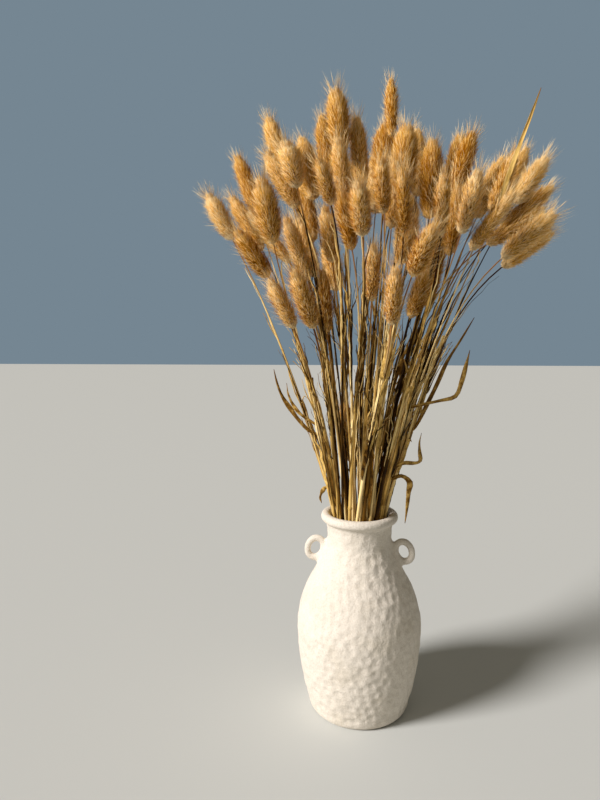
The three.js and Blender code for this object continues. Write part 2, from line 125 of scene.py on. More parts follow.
class VaseSettings(bpy.types.PropertyGroup):
    wall: metres("Wall", "Thickness of the clay wall", 0.005)
    ear_thick: metres("Ear thickness", "Radius of the round strand that an ear is made of", 0.0035)
    fineness: metres("Fineness", "Size of the faces of the clay's skin", 0.00142)
    dent_pitch: metres("Dent pitch", "Distance between two dents of the hammered skin", 0.0086)
    dent_depth: metres("Dent depth", "How deep the hammered dents are", 0.0013)
    clay: colour("Clay", "Colour of the bare clay", (0.755, 0.692, 0.596))
    clay_deep: colour("Clay in the pits", "Colour of the clay where it is a little darker", (0.70, 0.635, 0.53))


class StalkSettings(bpy.types.PropertyGroup):
    culm_share: FloatProperty(
        name="Culm share", description="Radius of a round culm as a share of the source's three-sided one",
        default=0.57, min=0.3, max=1)
    sheaths: IntProperty(name="Sheaths", description="Dry sheaths low on each culm", default=3, min=0, max=6)
    blades: IntProperty(name="Blades", description="Thin dry blades higher on each culm", default=5, min=0, max=6)
    sheath_width: metres("Sheath width", "Usual width of a dry sheath laid flat", 0.0046)
    olive: colour("Olive straw", "Darkest straw", (0.022, 0.008, 0.0006))
    brown: colour("Brown straw", "Dull straw", (0.18, 0.085, 0.009))
    straw: colour("Straw", "Usual straw", (0.70, 0.46, 0.13))
    cream: colour("Cream straw", "Palest straw", (0.98, 0.76, 0.36))


class HeadSettings(bpy.types.PropertyGroup):
    clumps: IntProperty(name="Clumps", description="Clumps of hair on a head of usual size", default=960, min=20)
    clump_hairs: IntProperty(name="Hairs in a clump", description="Hairs in each clump", default=6, min=3)
    awns: IntProperty(name="Awns", description="Long fine bristles on a head of usual size", default=340, min=0)
    hair_length: metres("Hair length", "Length of a hair on a head of usual size", 0.0105)
    hair_width: metres("Hair width", "Width of a hair at its widest", 0.00032)
    awn_width: metres("Awn width", "Width of an awn at its widest", 0.00023)
    rust: colour("Rust hair", "Darkest, reddest hair", (0.20, 0.055, 0.002))
    tan: colour("Tan hair", "Dull hair", (0.43, 0.175, 0.007))
    gold: colour("Gold hair", "Usual hair", (0.86, 0.52, 0.115))
    pale: colour("Pale hair", "Palest hair", (1.0, 0.87, 0.60))


class StageSettings(bpy.types.PropertyGroup):
    floor_size: metres("Floor size", "Side of the square floor", 12.0)
    floor_colour: colour("Floor", "Colour of the floor", (0.590, 0.602, 0.575))
    key_strength: FloatProperty(name="Key light", description="Strength of the main light", default=4.6)
    key_softness: FloatProperty(
        name="Softness", description="How wide the main light looks", default=math.radians(17), unit="ROTATION")
    fill_strength: FloatProperty(
        name="Fill light", description="Strength of the light from all round", default=0.182)
    key_colour: colour("Key colour", "Colour of the main light", (1.0, 0.96, 0.95))
    fill_colour: colour("Fill colour", "Colour of the light from all round", (1.0, 0.94, 0.80))
    backdrop: colour("Backdrop", "Colour seen behind the object", (0.178, 0.238, 0.288))


# Pieces and modifiers

def activate(piece):
    bpy.ops.object.select_all(action="DESELECT")
    piece.select_set(True)
    bpy.context.view_layer.objects.active = piece


def finish_with(piece, kind, **settings):
    """Gives a piece a modifier and applies it."""
    activate(piece)
    modifier = piece.modifiers.new(kind, kind)
    for name, value in settings.items():
        setattr(modifier, name, value)
    bpy.ops.object.modifier_apply(modifier=modifier.name)


def extrude_up(rise):
    bpy.ops.mesh.extrude_region_move(TRANSFORM_OT_translate={"value": (0, 0, rise), "orient_type": "GLOBAL"})


def end_with_faces_out():
    """Turns all faces of the mesh that is being edited outwards, and ends the editing."""
    bpy.ops.mesh.select_all(action="SELECT")
    bpy.ops.mesh.normals_make_consistent(inside=False)
    bpy.ops.object.mode_set(mode="OBJECT")


def points_of(piece):
    points = np.empty(len(piece.data.vertices) * 3)
    piece.data.vertices.foreach_get("co", points)
    return points.reshape(-1, 3)


def paint_group(piece, name, weights):
    """Gives a piece a vertex group from one weight a point, in 100 steps."""
    group = piece.vertex_groups.new(name=name)
    steps = np.round(np.clip(weights, 0, 1) * 100).astype(int)
    for step in range(1, 101):
        group.add(np.flatnonzero(steps == step).tolist(), step / 100, "REPLACE")
    return group.name


def unit(vectors):
    return vectors / np.maximum(np.linalg.norm(vectors, axis=-1, keepdims=True), 1e-12)


def smoothstep(low, high, value):
    share = np.clip((value - low) / (high - low), 0, 1)
    return share * share * (3 - 2 * share)


def read_at(places, knots, values):
    """Values in columns, read at places between their knots."""
    return np.stack([np.interp(places, knots, column) for column in np.transpose(values)], -1)


def at_height(line, height):
    return read_at(height, line[:, 2], line)


def through(points, places):
    """Points on a smooth curve through the given points, at places from 0 to 1 along its knots."""
    points = np.asarray(points, float)
    padded = np.vstack([2 * points[0] - points[1], points, 2 * points[-1] - points[-2]])
    at = np.clip(places, 0, 1) * (len(points) - 1)
    knot = np.minimum(at.astype(int), len(points) - 2)
    t = (at - knot)[:, None]
    a, b, c, d = (padded[knot + i] for i in range(4))
    return 0.5 * (2 * b + (c - a) * t + (2 * a - 5 * b + 4 * c - d) * t ** 2 + (3 * b - a - 3 * c + d) * t ** 3)


# Materials

def new_material(name):
    material = bpy.data.materials.new(name)
    material.use_nodes = True
    tree = material.node_tree
    tree.nodes.clear()
    return tree


def node(tree, kind, inputs=None, **settings):
    """Adds a node; an input's value is a number, a colour or another node's socket."""
    made = tree.nodes.new(kind)
    for name, value in settings.items():
        setattr(made, name, value)
    for name, value in (inputs or {}).items():
        if isinstance(value, bpy.types.NodeSocket):
            tree.links.new(value, made.inputs[name])
        else:
            made.inputs[name].default_value = value
    return made


def ramp(tree, value, stops):
    made = node(tree, "ShaderNodeValToRGB", {"Fac": value})
    elements = made.color_ramp.elements
    while len(elements) < len(stops):
        elements.new(0.5)
    for element, (place, shade) in zip(elements, stops):
        element.position = place
        element.color = (*shade, 1)
    return made.outputs["Color"]


def math_node(tree, operation, first, second):
    return node(tree, "ShaderNodeMath", {0: first, 1: second}, operation=operation).outputs[0]


def grain_group():
    """Fine uneven grain, as a value round 0.5: stretched by Across and Along, and as rough as Detail says."""
    group = bpy.data.node_groups.new("fine_grain", "ShaderNodeTree")
    sockets = group.interface
    sockets.new_socket("Vector", in_out="INPUT", socket_type="NodeSocketVector")
    for name in ("Across", "Along", "Detail"):
        sockets.new_socket(name, in_out="INPUT", socket_type="NodeSocketFloat")
    sockets.new_socket("Grain", in_out="OUTPUT", socket_type="NodeSocketFloat")
    given = node(group, "NodeGroupInput")
    stretch = node(group, "ShaderNodeCombineXYZ", {"X": given.outputs["Across"], "Y": given.outputs["Along"],
                                                   "Z": given.outputs["Across"]})
    placed = node(group, "ShaderNodeVectorMath", {0: given.outputs["Vector"], 1: stretch.outputs[0]},
                  operation="MULTIPLY")
    noise = node(group, "ShaderNodeTexNoise", {"Vector": placed.outputs[0], "Scale": 1.0,
                                               "Detail": given.outputs["Detail"], "Roughness": 0.6})
    node(group, "NodeGroupOutput", {"Grain": noise.outputs[0]})
    return group


def grain(tree, vector, across, along, detail):
    group = bpy.data.node_groups.get("fine_grain") or grain_group()
    inputs = {"Vector": vector, "Across": across, "Along": along, "Detail": detail}
    return node(tree, "ShaderNodeGroup", inputs, node_tree=group).outputs["Grain"]


def multiplied(tree, first, second):
    """Two colours times each other. The mix node's sockets go by identifier, because their names repeat."""
    made = node(tree, "ShaderNodeMix", data_type="RGBA", blend_type="MULTIPLY")
    sockets = {socket.identifier: socket for socket in (*made.inputs, *made.outputs)}
    sockets["Factor_Float"].default_value = 1.0
    tree.links.new(first, sockets["A_Color"])
    tree.links.new(second, sockets["B_Color"])
    return sockets["Result_Color"]


def finish_surface(tree, inputs):
    """Ends a material's tree with its shader."""
    shader = node(tree, "ShaderNodeBsdfPrincipled", inputs)
    tree.links.new(shader.outputs[0], node(tree, "ShaderNodeOutputMaterial").inputs["Surface"])


def bare_clay(settings):
    """Matte unglazed clay: a fine sandy grain, faint clouds and a slightly deeper tone in them."""
    tree = new_material("bare_clay")
    place = node(tree, "ShaderNodeTexCoord").outputs["Object"]
    clouds = grain(tree, place, 38, 38, 2)
    sand = grain(tree, place, 700, 700, 3)
    tone = ramp(tree, clouds, [(0.30, settings.clay_deep), (0.52, settings.clay)])
    speck = ramp(tree, sand, [(0.30, (0.85, 0.83, 0.80)), (0.55, (1.0, 1.0, 1.0))])
    shade = multiplied(tree, tone, speck)
    pores = grain(tree, place, 400, 400, 4)
    height = math_node(tree, "ADD", math_node(tree, "MULTIPLY", sand, 0.5), pores)
    bump = node(tree, "ShaderNodeBump", {"Height": height, "Strength": 1.0, "Distance": 0.0006})
    rough = ramp(tree, pores, [(0.3, (0.72,) * 3), (0.7, (0.90,) * 3)])
    finish_surface(tree, {"Base Color": shade, "Roughness": rough, "Normal": bump.outputs[0],
                          "Specular IOR Level": 0.28, "Sheen Weight": 0.05})
    return bpy.data.materials["bare_clay"]


def tone_map(tree):
    """The piece's own map: how far across it is the tone, and how far up it is the place along a hair or straw."""
    place = node(tree, "ShaderNodeUVMap", uv_map="OFBake").outputs["UV"]
    parts = node(tree, "ShaderNodeSeparateXYZ", {"Vector": place})
    return place, parts.outputs["X"], parts.outputs["Y"]


def soft_hair(settings):
    """Dry downy hair: dark at its root, partly its own colour and partly painted shade deep in the fur, and pale at
    its end, with a tone that changes from lock to lock.
    """
    tree = new_material("soft_hair")
    place, tone, along = tone_map(tree)
    spread = math_node(tree, "MULTIPLY", tone, 2.0)
    shade = ramp(tree, spread, [(0.04, settings.rust), (0.34, settings.tan), (0.62, settings.gold),
                                (0.96, settings.pale)])
    lock = grain(tree, place, 90, 3, 2)
    streak = ramp(tree, lock, [(0.28, (0.70, 0.64, 0.54)), (0.50, (1.0, 1.0, 1.0)), (0.72, (1.14, 1.16, 1.2))])
    streaked = multiplied(tree, shade, streak)
    # Darker towards the root: partly the hair's own colour, partly painted shade deep inside the fur
    root = ramp(tree, along, [(0.0, (0.12, 0.05, 0.008)), (0.28, (0.44, 0.25, 0.06)), (0.58, (1.0, 0.89, 0.70)),
                              (1.0, (1.22, 1.28, 1.33))])
    final = multiplied(tree, streaked, root)
    finish_surface(tree, {"Base Color": final, "Roughness": 0.62, "Specular IOR Level": 0.02,
                          "Sheen Weight": 0.03, "Sheen Roughness": 0.45, "Sheen Tint": (1.0, 0.85, 0.6, 1)})
    return bpy.data.materials["soft_hair"]


def dry_straw(settings):
    """Dry straw, sheath and leaf: fibres along it, blotches, a darker tip, and a tone of its own for each."""
    tree = new_material("dry_straw")
    place, tone, along = tone_map(tree)
    spread = math_node(tree, "SUBTRACT", math_node(tree, "MULTIPLY", tone, 2.0), 1.0)
    blotch = grain(tree, place, 30, 14, 3)
    stain = math_node(tree, "MULTIPLY", math_node(tree, "SUBTRACT", blotch, 0.5), 0.9)
    moved = math_node(tree, "ADD", spread, stain)
    shade = ramp(tree, moved, [(0.05, settings.olive), (0.34, settings.brown), (0.62, settings.straw),
                               (0.97, settings.cream)])
    fibre = grain(tree, place, 420, 5, 2)
    streak = ramp(tree, fibre, [(0.30, (0.55, 0.48, 0.38)), (0.55, (1.0, 1.0, 1.0)), (0.75, (1.12, 1.12, 1.12))])
    tip = ramp(tree, along, [(0.84, (1.0, 1.0, 1.0)), (0.94, (0.42, 0.27, 0.18))])
    final = multiplied(tree, multiplied(tree, shade, streak), tip)
    bump = node(tree, "ShaderNodeBump", {"Height": fibre, "Strength": 0.5, "Distance": 0.00018})
    rough = ramp(tree, blotch, [(0.35, (0.42,) * 3), (0.65, (0.66,) * 3)])
    finish_surface(tree, {"Base Color": final, "Roughness": rough, "Normal": bump.outputs[0],
                          "Specular IOR Level": 0.08})
    return bpy.data.materials["dry_straw"]


# The vase

def vase_rings(wall):
    """The vase's section from the middle of its foot's edge, over the lip and down to its inner floor."""
    outside = through(OUTLINE, np.linspace(0, 1, 61))
    turns = np.linspace(-0.38, 1, 15)[1:] * math.pi
    lip = np.stack([LIP["radius"] + LIP["thick"] * np.cos(turns), LIP["height"] + LIP["thick"] * np.sin(turns)], 1)
    inner = OUTLINE[OUTLINE[:, 1] >= FLOOR["curves_below"]][:-1] - (wall, 0)
    inside = through(inner[::-1], np.linspace(0, 1, 30))
    return np.vstack([outside, lip, inside, [(FLOOR["radius"], FLOOR["height"])]])


def raise_body(rings):
    """Draws the round body up ring by ring from its foot."""
    bpy.ops.mesh.primitive_circle_add(
        vertices=BODY_SIDES, radius=rings[0][0], fill_type="NGON", location=(0, 0, rings[0][1]))
    body = bpy.context.object
    bpy.ops.object.mode_set(mode="EDIT")
    bpy.ops.mesh.select_all(action="SELECT")
    for (radius, height), (next_radius, next_height) in zip(rings, rings[1:]):
        extrude_up(next_height - height)
        share = next_radius / radius
        bpy.ops.transform.resize(value=(share, share, 1), center_override=(0, 0, next_height))
    end_with_faces_out()
    return body


def bend_ear(side, thick):
    """Bends a round strand of clay into a small oval ring that leans in at its top."""
    bpy.ops.curve.primitive_bezier_circle_add(radius=1, location=(0, 0, 0))
    ear = bpy.context.object
    bpy.ops.object.mode_set(mode="EDIT")
    bpy.ops.curve.select_all(action="SELECT")
    bpy.ops.transform.resize(value=(EAR["wide"], EAR["tall"], 1), center_override=(0, 0, 0))
    bpy.ops.object.mode_set(mode="OBJECT")
    ear.data.bevel_depth = thick
    ear.data.bevel_resolution = 8
    ear.data.resolution_u = 24
    tilt = math.radians(EAR["tilt"])
    out = Vector((side * math.cos(tilt), 0, math.sin(tilt)))
    up = Vector((-side * math.sin(tilt), 0, math.cos(tilt)))
    turn = Matrix((out, up, out.cross(up))).transposed().to_4x4()
    ear.matrix_world = Matrix.Translation((side * EAR["across"], 0, EAR["height"])) @ turn
    activate(ear)
    bpy.ops.object.convert(target="MESH")
    bpy.ops.object.transform_apply(location=True, rotation=True, scale=True)
    bpy.ops.object.mode_set(mode="EDIT")
    bpy.ops.mesh.select_all(action="SELECT")
    bpy.ops.mesh.remove_doubles(threshold=1e-5)
    end_with_faces_out()
    return ear


def ear_distance(points):
    """How far each point is from the middle of the nearer ear's strand."""
    tilt = math.radians(EAR["tilt"])
    x, z = np.abs(points[:, 0]) - EAR["across"], points[:, 2] - EAR["height"]
    out, up = x * math.cos(tilt) + z * math.sin(tilt), z * math.cos(tilt) - x * math.sin(tilt)
    turn = np.arctan2(up / EAR["tall"], out / EAR["wide"])
    ring = np.hypot(out - EAR["wide"] * np.cos(turn), up - EAR["tall"] * np.sin(turn))
    return np.hypot(ring, points[:, 1])


def on_the_skin(points, wall):
    """1 on the outside of the body, and fading to 0 at the foot's edge, under the lip and at the ears."""
    height, radius = points[:, 2], np.hypot(points[:, 0], points[:, 1])
    skin = np.interp(height, OUTLINE[:, 1], OUTLINE[:, 0])
    outside = smoothstep(-0.6 * wall, -0.2 * wall, radius - skin)
    level = smoothstep(0.001, 0.010, height) * (1 - smoothstep(0.181, 0.189, height))
    return outside * level * smoothstep(0.0045, 0.0085, ear_distance(points))


def dent_centres(pitch, draw):
    """Where the hammer fell: rows round the body, with no dent quite in its place."""
    steps = np.hypot(*np.diff(OUTLINE, axis=0).T)
    lengths = np.concatenate([[0], np.cumsum(steps)])
    for row, at in enumerate(np.arange(0.005, lengths[-1], DENTS["row_step"] * pitch)):
        radius, height = read_at(at, lengths, OUTLINE)
        count = round(2 * math.pi * radius / pitch)
        turns = (np.arange(count) + 0.5 * row + draw.normal(0, DENTS["stray_round"], count)) * 2 * math.pi / count
        heights = height + draw.normal(0, DENTS["stray_up"] * pitch, count)
        yield np.stack([radius * np.cos(turns), radius * np.sin(turns), heights], 1)


def dents(points, pitch, draw):
    """How far each point is hammered in, from 0 to 1, in round hollows with soft ridges between them."""
    hollow = np.zeros(len(points))
    for centres in dent_centres(pitch, draw):
        reach = draw.uniform(*DENTS["reach"], len(centres)) * pitch
        depths = draw.uniform(*DENTS["depths"], len(centres))
        near = np.flatnonzero(np.abs(points[:, 2] - centres[:, 2].mean()) < 2 * pitch)
        apart = np.linalg.norm(points[near, None] - centres[None], axis=2)
        deepest = (depths * np.clip(1 - (apart / reach) ** 2, 0, 1) ** 2).max(1)
        hollow[near] = np.maximum(hollow[near], deepest)
    return hollow


class DRIEDGRASS_OT_make_vase(bpy.types.Operator):
    """Makes the clay vase: body, lip, ears and hammered skin"""
    bl_idname = "dried_grass.make_vase"
    bl_label = "Make the vase"

    def execute(self, context):
        settings = context.scene.clay_vase
        body = raise_body(vase_rings(settings.wall))
        ears = [bend_ear(side, settings.ear_thick) for side in (1, -1)]
        activate(body)
        for ear in ears:
            ear.select_set(True)
        bpy.ops.object.join()
        finish_with(body, "REMESH", mode="VOXEL", voxel_size=settings.fineness, use_smooth_shade=True)
        finish_with(body, "SMOOTH", factor=0.5, iterations=8)
        points = points_of(body)
        skin = on_the_skin(points, settings.wall)
        hollow = dents(points, settings.dent_pitch, np.random.default_rng(7)) * skin
        finish_with(body, "DISPLACE", direction="NORMAL", strength=-settings.dent_depth, mid_level=0,
                    vertex_group=paint_group(body, "hammered", hollow))
        finish_with(body, "SMOOTH", factor=0.5, iterations=4)
        unseen = np.hypot(points[:, 0], points[:, 1]) < np.interp(
            points[:, 2], OUTLINE[:, 1], OUTLINE[:, 0], right=0) - 0.7 * settings.wall
        finish_with(body, "DECIMATE", ratio=0.62, vertex_group=paint_group(body, "inside", unseen))
        body.vertex_groups.clear()
        body.name = body.data.name = "clay_vase"
        activate(body)
        bpy.ops.object.shade_smooth()
        body.data.materials.clear()
        body.data.materials.append(bare_clay(settings))
        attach(body, "root")
        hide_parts("vase")
        return {"FINISHED"}


# Reading a stalk of the source

def merged(name):
    """A stalk's points and triangles, with the points that coincide made one."""
    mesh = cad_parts[name].data
    points = points_of(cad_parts[name])
    mesh.calc_loop_triangles()
    triangles = np.empty(len(mesh.loop_triangles) * 3, np.int64)
    mesh.loop_triangles.foreach_get("vertices", triangles)
    _, first, where = np.unique(
        np.round(points * 2e6).astype(np.int64), axis=0, return_index=True, return_inverse=True)
    return points[first], where.reshape(-1)[triangles].reshape(-1, 3)


def neighbours_of(count, triangles):
    near = [set() for _ in range(count)]
    for a, b, c in triangles:
        near[a] |= {b, c}
        near[b] |= {a, c}
        near[c] |= {a, b}
    return near


def read_knots(points, base):
    """The middles and radii of a culm's rings: three points each, square to the culm, one ring at each bend."""
    foot = points[points[:, 2] < points[:, 2].min() + 1e-5].mean(0)
    knots, radii = [foot], [None]
    for height in BEND_HEIGHTS:
        if height > base[2] - LAST_BEND:
            break
        near = np.flatnonzero(np.abs(points[:, 2] - height) < 0.003)
        for trio in combinations(near, 3):
            corners = points[list(trio)]
            sides = np.linalg.norm(corners - np.roll(corners, 1, axis=0), axis=1)
            if abs(corners[:, 2].mean() - height) < 2e-5 and np.ptp(sides) < 0.02 * sides.max() < 0.00012:
                knots.append(corners.mean(0))
                radii.append(sides.mean() / math.sqrt(3))
                break
    radii[0] = radii[1] * FOOT_SHARE
    return np.array(knots), np.array(radii)


def culm_line(knots, radii, base, along, step=0.003):
    """The culm's middle line and radii in small even steps, through its knots and on into its head."""
    inside = knots[0] + (knots[1] - knots[0]) * STRAIGHT_SHARE
    marks = np.vstack([knots[:1], inside[None], knots[1:], base[None]])
    rise = np.diff(marks[:, 2])
    slopes = np.diff(marks, axis=0) / rise[:, None]
    tangents = np.vstack([slopes[:1], slopes[:1], (slopes[1:-1] * rise[2:, None] + slopes[2:] * rise[1:-1, None])
                          / (rise[1:-1] + rise[2:])[:, None], along[None] / along[2]])
    heights = np.linspace(marks[0, 2], base[2], int((base[2] - marks[0, 2]) / step))
    part = np.clip(np.searchsorted(marks[:, 2], heights, side="right") - 1, 0, len(rise) - 1)
    t = ((heights - marks[part, 2]) / rise[part])[:, None]
    lift = rise[part][:, None]
    line = ((2 * t ** 3 - 3 * t ** 2 + 1) * marks[part] + (t ** 3 - 2 * t ** 2 + t) * lift * tangents[part]
            + (3 * t ** 2 - 2 * t ** 3) * marks[part + 1] + (t ** 3 - t ** 2) * lift * tangents[part + 1])
    neck = radii[-1] * NECK_SHARE
    widths = np.interp(heights, [*knots[:, 2], base[2]], [*radii, neck])
    line = np.vstack([line, base + 0.006 * along])
    return line, np.append(widths, neck)


def rings_from(pole, near, size):
    """The rings of points that lie round a pole, one after the other, while each has the given size."""
    seen, ring, rings = {pole}, sorted(near[pole]), []
    while len(ring) == size:
        rings.append(ring)
        seen |= set(ring)
        ring = sorted(set().union(*(near[i] for i in ring)) - seen)
    return rings


def read_head(points, near):
    """The base, the tip and the girth of a stalk's head, from the rings of points round its tip."""
    rings = {i: rings_from(i, near, 8) for i, around in enumerate(near) if len(around) == 8}
    pole = max(rings, key=lambda i: len(rings[i]))
    rings = rings[pole][:6]
    axis = unit(points[pole] - np.mean([points[ring].mean(0) for ring in rings[2:]], axis=0))
    places, radii = [], []
    for ring in rings:
        away = points[ring] - points[pole]
        along = away @ axis
        core = np.argsort(along)[:4]
        places.append(along[core].mean())
        radii.append(np.linalg.norm(away[core] - along[core, None] * axis, axis=1).mean())
    spacing = -np.diff(places).mean()
    length = ROWS * spacing
    shares = LAST_ROW - np.arange(len(rings)) / ROWS
    girth = 2 * np.median(np.array(radii) / (CORE * fullness(shares)))
    base = points[pole] + axis * (places[0] - LAST_ROW * length)
    return base, base + axis * length, girth


def read_leaves(points, near, line):
    """The leaves of a stalk, each as ring middles, half widths and the directions across it, from root to tip."""
    leaves = []
    for i, around in enumerate(near):
        if len(around) != 4:
            continue
        corners = points[sorted(around)]
        gaps = np.sort(np.linalg.norm(corners[:, None] - corners[None], axis=2)[np.triu_indices(4, 1)])
        if abs(gaps[0] - BLADE_THICK) > 5e-5 or abs(gaps[1] - BLADE_THICK) > 5e-5:
            continue
        middles, halves, sides = [points[i]], [0.0003], []
        for ring in rings_from(i, near, 4):
            corners = points[ring]
            pair = min(range(1, 4), key=lambda j: abs(np.linalg.norm(corners[j] - corners[0]) - BLADE_THICK))
            others = [j for j in range(1, 4) if j != pair]
            one, two = (corners[0] + corners[pair]) / 2, corners[others].mean(0)
            if np.linalg.norm(line - corners.mean(0), axis=1).min() < 0.0012:
                break
            middles.append(corners.mean(0))
            halves.append(np.linalg.norm(one - two) / 2)
            side = unit(one - two)
            sides.append(side if not sides or side @ sides[-1] > 0 else -side)
        if len(middles) < 2:
            continue
        root = line[np.argmin(np.linalg.norm(line - (middles[-1] - (0, 0, 0.006)), axis=1))]
        middles, halves = middles + [root], halves + [halves[-1] * 0.8]
        sides = [sides[0]] + sides + [sides[-1]]
        leaves.append((np.array(middles[::-1]), np.array(halves[::-1]), np.array(sides[::-1])))
    return leaves


# Modelling what repeats

def fullness(along):
    """How full a head is along its length, from 0 at its base to 1 at its tip."""
    return np.sin(np.pi * (0.07 + 0.86 * np.clip(along, 0, 1)) ** 0.78) ** 0.6


def straight_tube(sides, rings):
    """The points and faces of a straight closed tube of unit size, which culms, strips and cores are copies of."""
    bpy.ops.mesh.primitive_circle_add(vertices=sides, radius=1, fill_type="TRIFAN", location=(0, 0, 0))
    tube = bpy.context.object
    bpy.ops.object.mode_set(mode="EDIT")
    bpy.ops.mesh.select_all(action="SELECT")
    for _ in range(rings - 1):
        extrude_up(1 / (rings - 1))
    bpy.ops.mesh.select_all(action="SELECT")
    bpy.ops.mesh.normals_make_consistent(inside=False)
    bpy.ops.mesh.quads_convert_to_tris()
    bpy.ops.object.mode_set(mode="OBJECT")
    points = points_of(tube)
    faces = np.array([face.vertices[:] for face in tube.data.polygons])
    bpy.data.meshes.remove(tube.data)
    return {"ring": np.round(points[:, 2] * (rings - 1)).astype(int), "x": points[:, 0], "y": points[:, 1],
            "faces": faces, "rings": rings}


def across_line(line, side):
    """At each point of a line, two directions square to it that don't twist along it."""
    along = unit(np.gradient(line, axis=0))
    sides = []
    for direction in along:
        side = unit(side - direction * (side @ direction))
        sides.append(side)
    return np.array(sides), np.cross(along, sides)


def round_tube(tube, line, radii, first=(1.0, 0, 0)):
    """A copy of the tube, bent along a line, with a radius at each ring."""
    sides, others = across_line(line, np.array(first))
    ring = tube["ring"]
    reach = radii[ring][:, None]
    return line[ring] + reach * (tube["x"][:, None] * sides[ring] + tube["y"][:, None] * others[ring])


def curled_strip(tube, line, sides, halves, thick, curls):
    """A copy of the tube flattened to a strip along a line, curled round its own length by curls, in 1/metre."""
    along = unit(np.gradient(line, axis=0))
    sides = unit(sides - along * (sides * along).sum(1, keepdims=True))
    faces_to = np.cross(along, sides)
    ring = tube["ring"]
    bend = np.maximum(np.abs(curls[ring]), 1.0) * np.where(curls[ring] < 0, -1, 1)
    turn = bend * halves[ring] * tube["x"]
    rise = tube["y"] * thick[ring]
    across = np.sin(turn) / bend + rise * np.sin(turn)
    up = (np.cos(turn) - 1) / bend + rise * np.cos(turn)
    return line[ring] + across[:, None] * sides[ring] + up[:, None] * faces_to[ring]


# Hair

def ribbons(start, middle, end, facing, widths, tones, shading, roots=0.02):
    """Flat bent hairs, each two triangles that come to a point at both ends: points, faces, map places, normals."""
    count = len(start)
    waist = 0.25 * start + 0.5 * middle + 0.25 * end
    half = 0.5 * widths[:, None] * unit(np.cross(unit(end - start), facing))
    points = np.stack([start, waist - half, waist + half, end], 1)
    faces = np.array([(0, 2, 1), (1, 2, 3)]) + 4 * np.arange(count)[:, None, None]
    places = np.empty((count, 4, 2))
    places[:, :, 0] = tones[:, None] + 0.002 * np.array((0, -1, 1, 0))
    places[:, :, 1] = np.outer(1 - np.ravel(roots), (1, 0.5, 0.5, 0)) * -0.98 + 0.98
    normals = np.repeat(unit(shading), 4, axis=0)
    return points.reshape(-1, 3), faces.reshape(-1, 3), places.reshape(-1, 2), HAIR_SIDE, normals


def plumpness(share, head):
    """How thick a head with its hairs is along its length, from 0 at its ends to 1."""
    return np.sqrt(np.clip(1 - np.abs(2 * np.clip(share, 0, 1) ** head["lean"] - 1) ** head["blunt"], 0, 1))


def fur_radius(s, head):
    """How far from the head's middle its hairs end, at a distance s up from its base."""
    length = head["length"]
    radius = FUR_SHARE * head["full"] * head["girth"] * plumpness(np.clip(s / length, 0.06, 0.93), head)
    return radius * np.clip(1 + s / 0.003, 0, 1) * np.sqrt(1 - np.clip((s - length) / 0.006, 0, 1))


def around(head, turn):
    return np.cos(turn)[:, None] * head["side"] + np.sin(turn)[:, None] * head["other"]


def swell(head, s, turn):
    """The direction square to the fur's round surface, which soft fur is shaded by."""
    slope = (fur_radius(s - 0.0006, head) - fur_radius(s + 0.0006, head)) / 0.0012
    return unit(around(head, turn) + np.clip(slope, -0.5, 2.0)[:, None] * head["along"])


def middle_of(head, s):
    bowed = (np.clip(s / head["length"], 0, 1.2) ** 2)[:, None] * head["bow"]
    return head["base"] + s[:, None] * head["along"] + bowed


def spot(head, s, radius, turn):
    """A point of the head: a distance up its bowed middle, a distance out of it and a turn round it."""
    return middle_of(head, s) + radius[:, None] * around(head, turn)


def some(rule, count, draw):
    """An amount for a share of the hairs, and 0 for the others."""
    return np.where(draw.random(count) < rule["share"], draw.uniform(*rule["by"], count), 0)


